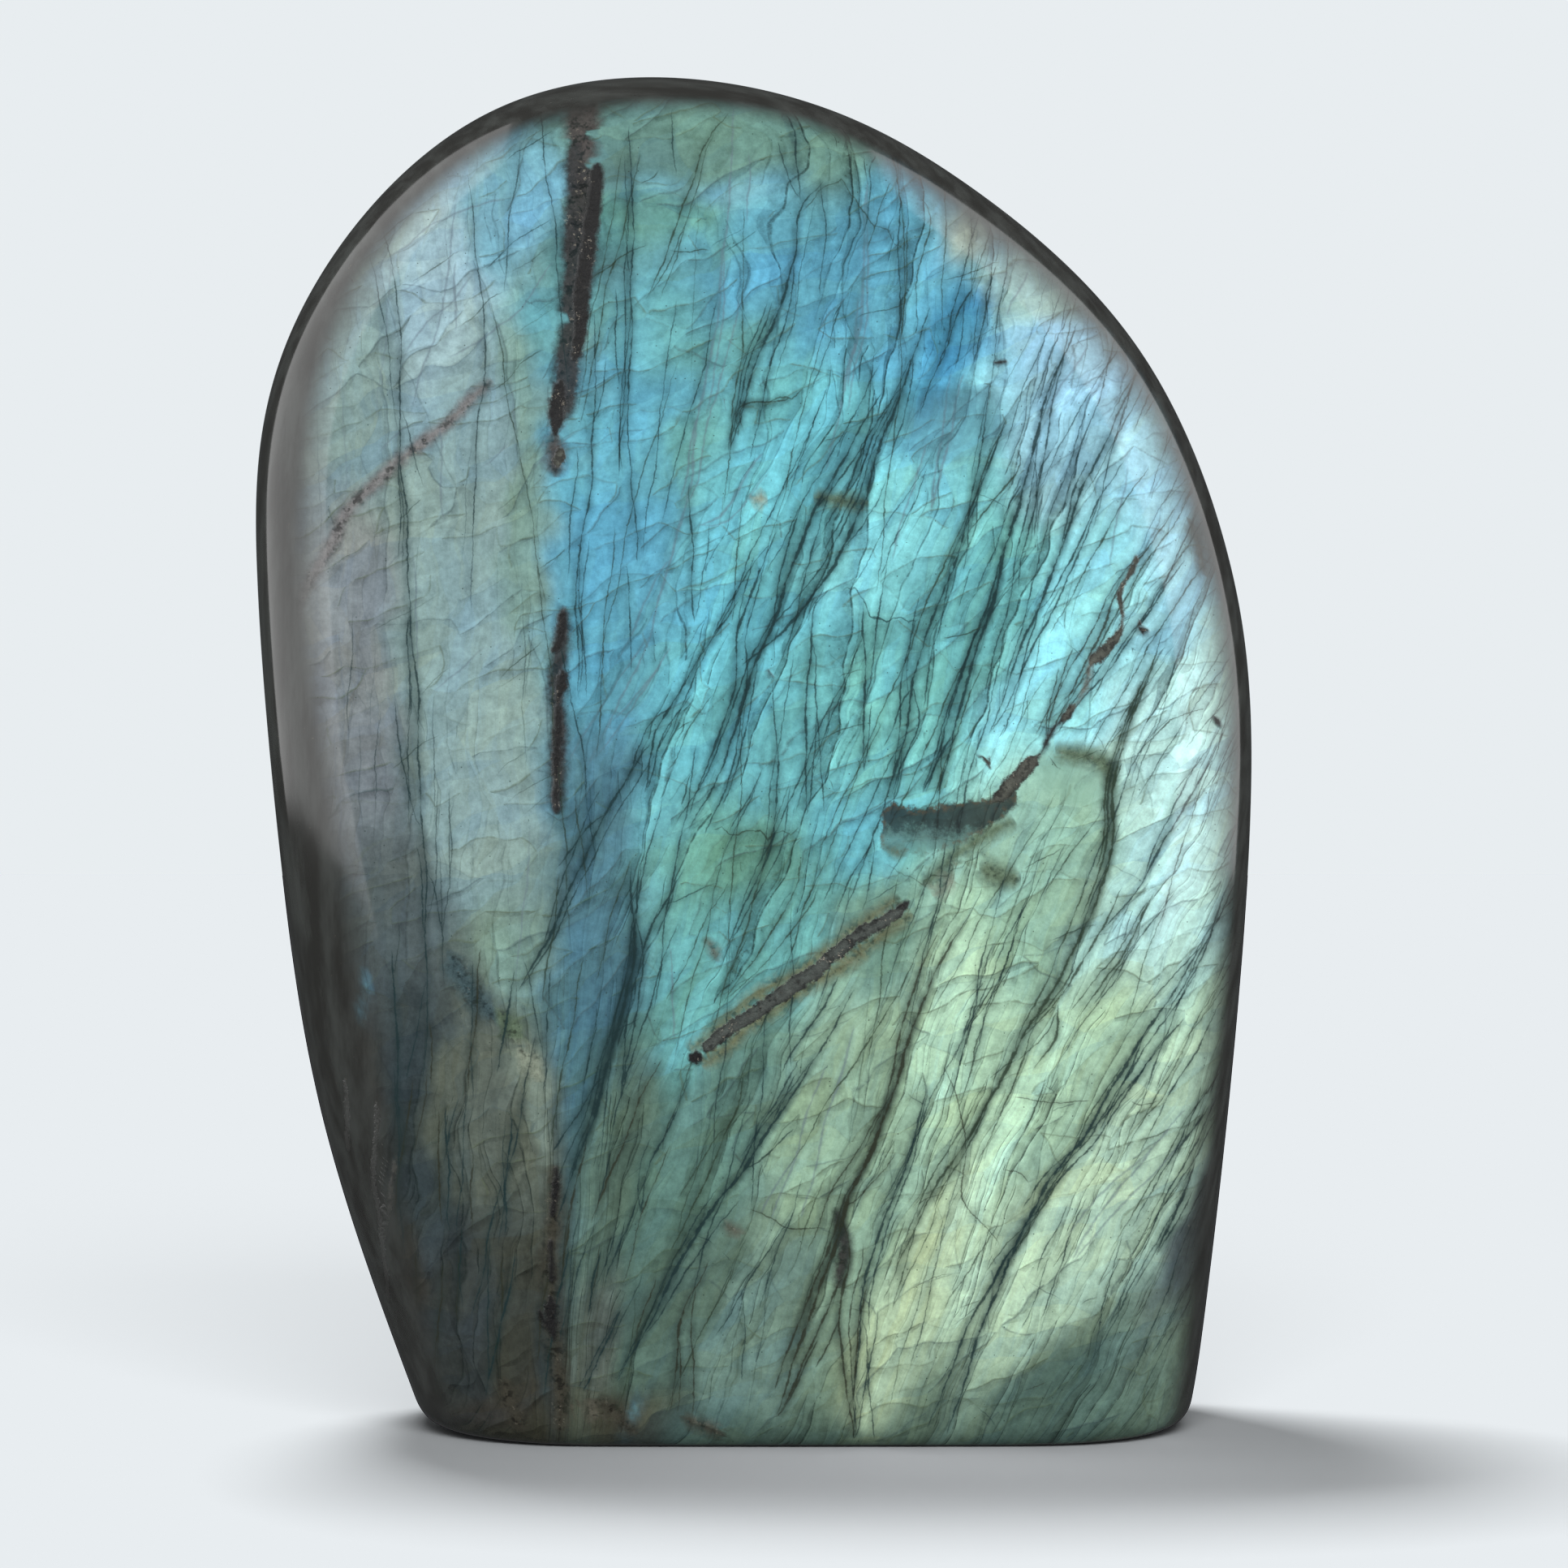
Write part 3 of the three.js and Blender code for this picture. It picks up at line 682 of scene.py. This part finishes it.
class Bench:
    """The nodes of one material, or of the world. node() adds one: its settings are set first, then its
    sockets get values or links."""

    def __init__(self, owner):
        owner.use_nodes = True
        self.tree = owner.node_tree
        self.tree.nodes.clear()

    def node(self, kind, settings=None, sockets=None, output=0):
        made = self.tree.nodes.new(kind)
        for name, value in (settings or {}).items():
            setattr(made, name, value)
        for key, value in (sockets or {}).items():
            if isinstance(value, Wire):
                self.tree.links.new(value.socket, made.inputs[key])
            else:
                made.inputs[key].default_value = value
        return Wire(self, made.outputs[output])

    def attribute(self, name, output="Vector"):
        return self.node("ShaderNodeAttribute", {"attribute_name": name}, output=output)

    def parts(self, vector):
        """The three numbers of a vector."""
        first = self.node("ShaderNodeSeparateXYZ", None, {0: vector})
        return [Wire(self, output) for output in first.socket.node.outputs]

    def mix(self, share, a, b, kind="MIX"):
        settings = {"data_type": "RGBA", "blend_type": kind}
        return self.node("ShaderNodeMix", settings, {0: share, 6: a, 7: b}, 2)

    def vector(self, operation, a, b=(0, 0, 0), output=0):
        return self.node("ShaderNodeVectorMath", {"operation": operation}, {0: a, 1: b}, output)

    def scaled(self, vector, *scale):
        return self.vector("MULTIPLY", vector, scale)

    def noise(self, vector, scale, detail=2.0, roughness=0.5, output=0):
        return self.node("ShaderNodeTexNoise", None,
                         {"Vector": vector, "Scale": scale, "Detail": detail, "Roughness": roughness}, output)

    def cells(self, vector, feature="F1", output=0):
        return self.node("ShaderNodeTexVoronoi", {"feature": feature, "voronoi_dimensions": "2D"},
                         {"Vector": vector, "Scale": 1.0}, output)

    def wander(self, vector, scale, detail, roughness=0.5):
        """A vector that wanders smoothly about zero, by up to about a half."""
        return self.vector("SUBTRACT", self.noise(vector, scale, detail, roughness, 1), (0.5, 0.5, 0.5))

    def swayed(self, vector, wander, *reach):
        """A vector moved by a wander, as far along each axis as the reach says."""
        return self.vector("ADD", vector, self.scaled(wander, *reach))

    def lightened(self, colour, amount):
        """A colour with each part times an amount."""
        return self.node("ShaderNodeVectorMath", {"operation": "SCALE"}, {0: colour, "Scale": amount})

    def stored(self, name):
        """The three numbers stored under a name, and the colour and its last number stored with them."""
        colours = [self.attribute(name + "_colour", output) for output in ("Color", "Alpha")]
        return self.parts(self.attribute(name)) + colours

    def finish(self, shader, kind="Material"):
        output = self.tree.nodes.new("ShaderNodeOutput" + kind)
        self.tree.links.new(shader.socket, output.inputs["Surface"])


def paint(colour):
    """A colour as seen, in the form that a shader's socket takes."""
    return (*linear(colour), 1.0)


polish = bpy.data.materials.new("polished_labradorite")
bench = Bench(polish)
face = bench.attribute("face", "Color")
shown = bench.attribute("face", "Alpha")
place = bench.scaled(bench.node("ShaderNodeTexCoord", output="Object"), 1 / MM, 1 / MM, 1 / MM)
place_x, _, place_z = bench.parts(place)
course_at = bench.attribute("course")
slow, quick = bench.wander(place, 0.1, 2.0), bench.wander(place, 0.75, 4.0, 0.68)
swayed = bench.swayed(bench.swayed(course_at, slow, 5, 9, 0), quick, 0.3, 0.3, 0)


def plates(place, *scale):
    """The stone split into plates: a place belongs to the nearest of points that are scattered evenly once
    the place is scaled, and an edge runs halfway between the two nearest. The way to the neighbour is n, a
    unit vector in the scaled space. Gives, for a place: the distance to that edge in millimetres, which is
    the scaled one over the length of n times the scale; n's part across; a number that is the edge's own;
    and numbers that are the plate's own."""
    cell = bench.scaled(place, *scale, 0)
    own, other = bench.cells(cell, output=2), bench.cells(cell, "F2", 2)
    toward = bench.vector("NORMALIZE", bench.vector("SUBTRACT", other, own))
    both = bench.vector("ADD", own, other)
    to_edge = bench.vector("SUBTRACT", bench.scaled(both, 0.5, 0.5, 0), cell)
    gap = bench.vector("DOT_PRODUCT", to_edge, toward, 1)
    steepness = bench.vector("LENGTH", bench.scaled(toward, *scale, 0), output=1)
    chance = bench.node("ShaderNodeTexWhiteNoise", None, {0: bench.vector("SNAP", both, (0.01, 0.01, 0.01))})
    return gap / steepness, bench.parts(toward)[0], chance, bench.parts(bench.cells(cell, output=1))


# Plates within plates, from coarse to fine: each has a brightness and tint of its own, is shaded where its
# right-hand neighbour lies over it and lit where it lies over its left-hand one, and has a dark line along
# the edges that are open. The left third is nearly whole, and the finest plates come in shattered clusters.
BRIGHTNESS = 1.18
# Painted shade along the open plate edges, deepest where a right-hand neighbour lies over the plate, and
# painted light where it lies over its left-hand one.
PLATE_SHADE, PLATE_EDGE_SHADE = 0.28, 0.16
PLATE_TINT, PLATE_LINE = 0.3, 0.85
WARM, COOL, GROOVE = paint((254, 252, 240)), paint((236, 245, 255)), paint((24, 34, 32))
cloud = bench.noise(place, 0.7, 5.0, 0.78) - 0.5
fibre = bench.noise(bench.scaled(swayed, 1.5, 0.3, 0), 1, 3.0, 0.7) - 0.5
grit = bench.noise(place, 0.9, 3.0, 0.72).between(0.34, 0.56, 0.4, 1)
colour = bench.lightened(face, BRIGHTNESS + cloud * 1.5 + fibre * 0.5)
across_at, height_at, _ = bench.parts(course_at)
broken = 1 - across_at.between(-25, -17, 0.65, 0) * height_at.between(30, 55, 0.2, 1)
shattered = bench.noise(bench.scaled(swayed, 0.13, 0.024, 0), 1, 2.0).between(0.42, 0.6, 0.1, 1) * broken
groove = bench.mix(0.07, GROOVE, face)
for across, along, contrast, reach, width, openness, where in (
    (0.16, 0.026, 0.34, 2.6, 0.10, 0.8, broken), (0.4, 0.06, 0.26, 1.3, 0.08, 0.75, shattered),
    (0.95, 0.13, 0.16, 0.7, 0.06, 0.65, shattered),
):
    edge, rightness, chance, lot = plates(swayed, across, along)
    opened = chance.between(1 - openness, 1) * where
    opened = opened * rightness.math("ABSOLUTE").between(0.1, 0.7, 0.25, 1) * grit
    shade = edge.between(0, reach, 1, 0) * opened * (rightness * PLATE_SHADE + PLATE_EDGE_SHADE)
    colour = bench.lightened(colour, 1 + (lot[0] - 0.5) * contrast * where - shade)
    colour = bench.mix(PLATE_TINT, colour, bench.mix(lot[1], WARM, COOL), "MULTIPLY")
    line = edge.between(width * 0.4, width * 1.6, 1, 0) * opened
    colour = bench.mix(line * PLATE_LINE, colour, groove, "DARKEN")

# Two sets of cross fractures that rise to the right, the first steeper than the second. Their plates differ
# less in brightness and more in tint, with painted shade beside their open edges, deepest where the
# neighbour lies above, and painted light where it lies below; their lines are fainter, blue-green or olive.
CROSS_CONTRAST, CROSS_REACH = 0.17, 1.3
CROSS_SHADE, CROSS_EDGE_SHADE = 0.2, 0.1
CROSS_TINT, CROSS_LINE = 0.4, 0.5
WARMER, COOLER = paint((255, 252, 236)), paint((230, 244, 255))
bent_x, _, bent_z = bench.parts(bench.swayed(bench.swayed(place, slow, 6, 0, 6), quick, 0.4, 0, 0.4))
for rise, crossing, along, width, openness, tint in (
    (0.7, 0.24, 0.08, 0.12, 0.55, (66, 82, 84)), (0.38, 0.36, 0.12, 0.1, 0.6, (80, 92, 68)),
):
    leant = bench.node("ShaderNodeCombineXYZ", None, {0: bent_z - bent_x * rise, 1: bent_x + bent_z * rise})
    edge, upness, chance, lot = plates(leant, crossing, along)
    opened = chance.between(1 - openness, 1) * grit
    shade = edge.between(0, CROSS_REACH, 1, 0) * opened * (upness * CROSS_SHADE + CROSS_EDGE_SHADE)
    colour = bench.lightened(colour, 1 + (lot[0] - 0.5) * CROSS_CONTRAST - shade)
    colour = bench.mix(CROSS_TINT, colour, bench.mix(lot[1], WARMER, COOLER), "MULTIPLY")
    line = edge.between(width * 0.2, width * 1.8, 1, 0) * opened
    colour = bench.mix(line * CROSS_LINE, colour, paint(tint), "DARKEN")

# Patches and stains under the cracks: a dark step, a milky green plate, and clouds along their courses.
STEP_BLUE, STEP_SHARE = paint((66, 96, 112)), 0.45
MILKY_GREEN, MILKY_SHARE = paint((128, 166, 146)), 0.6
# Pale flecks of painted glint, where crystals in the seams and stains would catch the light.
GLINT_FLECK, GLINT_SHARE = paint((150, 142, 128)), 0.8
SOFTER = 0.12
torn_in, green_in, dark_in = bench.parts(bench.attribute("patch"))
ragged = (bench.noise(place, 0.6, 4.0, 0.7) - 0.5) * 2.6
mottle = bench.noise(place, 1.3, 4.0, 0.75)
colour = bench.mix((dark_in + ragged).between(-0.8, 2.4) * STEP_SHARE, colour, STEP_BLUE)
colour = bench.mix((green_in + ragged).between(-0.6, 1.4) * MILKY_SHARE, colour, MILKY_GREEN)


def drawn(name, colour, fuzz, depth):
    """The inclusions stored under a name, drawn over a colour: a place is inside where its distance to the
    side, made uneven, is less than half the width, and the edge is broader the softer they are. Hard ones
    have darker edges and pale flecks of painted glint. The share that they cover comes with the colour."""
    side, near, width, tint, soft = bench.stored(name)
    jagged = (mottle - 0.5) * width.between(0, 3, 0.4, 2.0) * (1 - soft * 0.8) + ragged * (soft * 0.2 + 0.3)
    out_by = side.math("ABSOLUTE") + jagged - width * 0.5
    end = (near - width * 0.5).between(0.3, 0.9, 1, 0) * width.between(0.05, 0.4)
    within = out_by.between(-SOFTER - soft * fuzz, SOFTER + soft * fuzz, 1, 0) * end
    light = 1 + (mottle - 0.5) * 2.4 - out_by.between(-0.5, -0.1) * (1 - soft) * 0.5
    light = light * bench.noise(place, 0.9, 2.0, 0.7).between(0.36, 0.48, 0.35, 1)
    glint = bench.noise(place, 2.3, 3.0, 0.75).between(0.6, 0.66)
    glint = glint * bench.noise(place, 0.3).between(0.5, 0.6, 0.1, 1) * (GLINT_SHARE - soft * 0.5)
    inner = bench.mix(glint, bench.lightened(tint, light), GLINT_FLECK)
    return bench.mix(within * depth, colour, inner), within


colour, _ = drawn("stain", colour, fuzz=0.9, depth=0.95)

# The cracks, sheet by sheet, the weakest first. Each is a shadow with a thin dark line of uneven width in
# it, both fainter and the line softer where it is healed.
LINE, SHADOW, VEIL_LESS = 0.82, 0.45, 0.3
rough = (bench.noise(place, 0.9, 4.0, 0.7) - 0.5) * 0.5
uneven = bench.noise(place, 0.5, 3.0, 0.65).between(0.3, 0.7, 0.0, 0.15)
for number in reversed(range(SHEETS)):
    side, near, strength, tint, veil = bench.stored(f"cracks_{number}")
    here = near.between(0.75, 1.2, 1, 0) * strength.between(0, 0.3)
    off = (side + rough).math("ABSOLUTE")
    shadow = off.between(0, 0.9, 1, 0) * here * strength * (SHADOW - veil * VEIL_LESS)
    colour = bench.mix(shadow, colour, bench.mix(0.5, paint(DARK[:3]), tint), "DARKEN")
    line = (off - strength * uneven).between(-0.06, 0.09 + veil * 0.09, 1, 0)
    colour = bench.mix(line * here * (LINE - veil * VEIL_LESS), colour, tint, "DARKEN")

# The torn patch, dark above and greener below with a rusty edge, and the seams, needle and vein over all.
TORN_GREEN, TORN_DARK, TORN_RUST = paint((76, 108, 104)), paint((28, 36, 37)), paint((82, 72, 54))
TORN_SHARE, RUST_SHARE = 0.92, 0.8
torn_depth = torn_in + ragged * 0.9
torn_at = torn_depth.between(-0.1, 0.5) * place_z.between(60.6, 64, 0.35, 1)
step = place_z.between(61.5, 66.5) - (mottle - 0.5) * 1.6
colour = bench.mix(torn_at * TORN_SHARE, colour, bench.mix(step.between(0.1, 0.75), TORN_GREEN, TORN_DARK))
rusty = torn_at * torn_depth.between(0.3, 1.0, 1, 0) * mottle.between(0.45, 0.6)
colour = bench.mix(rusty * RUST_SHARE, colour, TORN_RUST)
colour, within = drawn("inclusion", colour, fuzz=0.4, depth=1.0)

# Specks everywhere, and the dark body of the stone where it throws no colour back.
SPECK, SPECK_SHARE = paint((44, 56, 52)), 0.7
BODY_STREAK, BODY_FLECK = paint((60, 62, 60)), paint((130, 118, 100))
POLISH, TORN_ROUGHER, SEAM_ROUGHER = 0.08, 0.2, 0.42
flat = bench.node("ShaderNodeCombineXYZ", None, {0: place_x, 1: place_z})
speck_size = bench.parts(bench.cells(flat, output=1))[0].between(0.8, 1, -0.06, 0.08)
speck = (bench.cells(flat) - speck_size).between(-0.03, 0.02, 1, 0)
colour = bench.mix(speck * SPECK_SHARE, colour, SPECK)
streak = bench.noise(bench.scaled(course_at, 0.45, 0.07, 0.4), 1, 5.0, 0.6)
body = bench.mix(streak.between(0.35, 0.7), paint(BODY), BODY_STREAK)
body = bench.mix(bench.noise(place, 1.4, 4.0, 0.75).between(0.68, 0.76) * 0.4, body, BODY_FLECK)
colour = bench.mix(shown, body, colour)

roughness = within * SEAM_ROUGHER + torn_at * TORN_ROUGHER + bench.noise(place, 0.2, 2.0) * 0.05 + POLISH
relief_height = within * bench.noise(place, 2.4, 4.0, 0.7) + bench.noise(place, 0.07, 2.0) * 0.25
bump = bench.node("ShaderNodeBump", None, {"Strength": 0.5, "Distance": 0.4 * MM, "Height": relief_height})
bench.finish(bench.node("ShaderNodeBsdfPrincipled", None, {
    "Base Color": colour, "Roughness": roughness, "IOR": 1.56, "Normal": bump}))
mesh.materials.append(polish)

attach(stone, "root")
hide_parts("labradorite_stone")

# The floor. A plain pale surface, wide enough to run out of sight, that only takes the stone's shadow and
# isn't mirrored in the polish.
FLOOR_HALF = 3.0
PALE = paint((232, 237, 240))
floor_mesh = bpy.data.meshes.new("floor")
corners = [(FLOOR_HALF * a, FLOOR_HALF * b, 0) for a, b in ((-1, -1), (1, -1), (1, 1), (-1, 1))]
floor_mesh.from_pydata(corners, [], [(0, 1, 2, 3)])
floor = bpy.data.objects.new("floor", floor_mesh)
scene.collection.objects.link(floor)
floor_mesh.materials.append(bpy.data.materials.new("pale_floor"))
floor_bench = Bench(floor_mesh.materials[0])
floor_bench.finish(floor_bench.node("ShaderNodeBsdfDiffuse", None, {"Color": PALE}))
floor.is_shadow_catcher = True
floor.visible_glossy = False

# The light. Two big soft boxes stand beside the stone and show in its polished shoulders, and two fills that
# don't show light only its faces. Two lamps high up, behind and before it, light the floor too and give it
# its shadow.
AMBIENT = 0.05
MIDDLE = (0, 0, 0.07)
stone_only = bpy.data.collections.new("lit_by_the_panels")
stone_only.objects.link(stone)


def soft_box(name, place, aim, size, power, shows=False, on_floor=False):
    """A rectangular lamp at a place, turned to face another, in metres and watts."""
    lamp = bpy.data.lights.new(name, "AREA")
    lamp.shape, lamp.size, lamp.size_y, lamp.energy = "RECTANGLE", *size, power
    box = bpy.data.objects.new(name, lamp)
    away = np.array(place, float) - aim
    away /= np.linalg.norm(away)
    box.location = place
    box.rotation_euler = (np.arccos(away[2]), 0, np.arctan2(away[0], -away[1]))
    box.visible_camera = False
    box.visible_glossy = shows
    if not on_floor:
        box.light_linking.receiver_collection = stone_only
    scene.collection.objects.link(box)


soft_box("panel_left", (-0.5, -0.375, 0.71), (0, -0.375, 0.71), (1.25, 1.38), 9, shows=True)
soft_box("panel_right", (0.5, -0.375, 0.71), (0, -0.375, 0.71), (1.25, 1.38), 9, shows=True)
soft_box("fill_front", (0, -1.0, 0.06), MIDDLE, (0.6, 0.3), 5)
soft_box("fill_back", (0.1, 0.9, 0.5), MIDDLE, (0.8, 0.6), 6)
soft_box("high_behind", (-0.18, 0.33, 0.93), MIDDLE, (0.3, 0.24), 4.6, on_floor=True)
soft_box("high_before", (0.1, -1.1, 0.9), MIDDLE, (0.8, 0.5), 5, on_floor=True)

scene.world = bpy.data.worlds.new("studio")
around = Bench(scene.world)
strength = around.node("ShaderNodeLightPath", output="Is Camera Ray") * (1 - AMBIENT) + AMBIENT
around.finish(around.node("ShaderNodeBackground", None, {"Color": PALE, "Strength": strength}), "World")
scene.view_settings.view_transform = "Standard"

# The camera. Level with the middle of the stone and square to its front face, half a metre away, with a lens
# long enough for the stone to fill the picture.
SEEN_FROM = np.array((3.27, -502.7, 68.7))
SENSOR, LENS = 36, 107.07
camera = bpy.data.objects.new("camera", bpy.data.cameras.new("camera"))
camera.data.sensor_width = SENSOR
camera.data.lens = LENS
camera.location = SEEN_FROM * MM
camera.rotation_euler = (np.pi / 2, 0, 0)
scene.collection.objects.link(camera)
scene.camera = camera
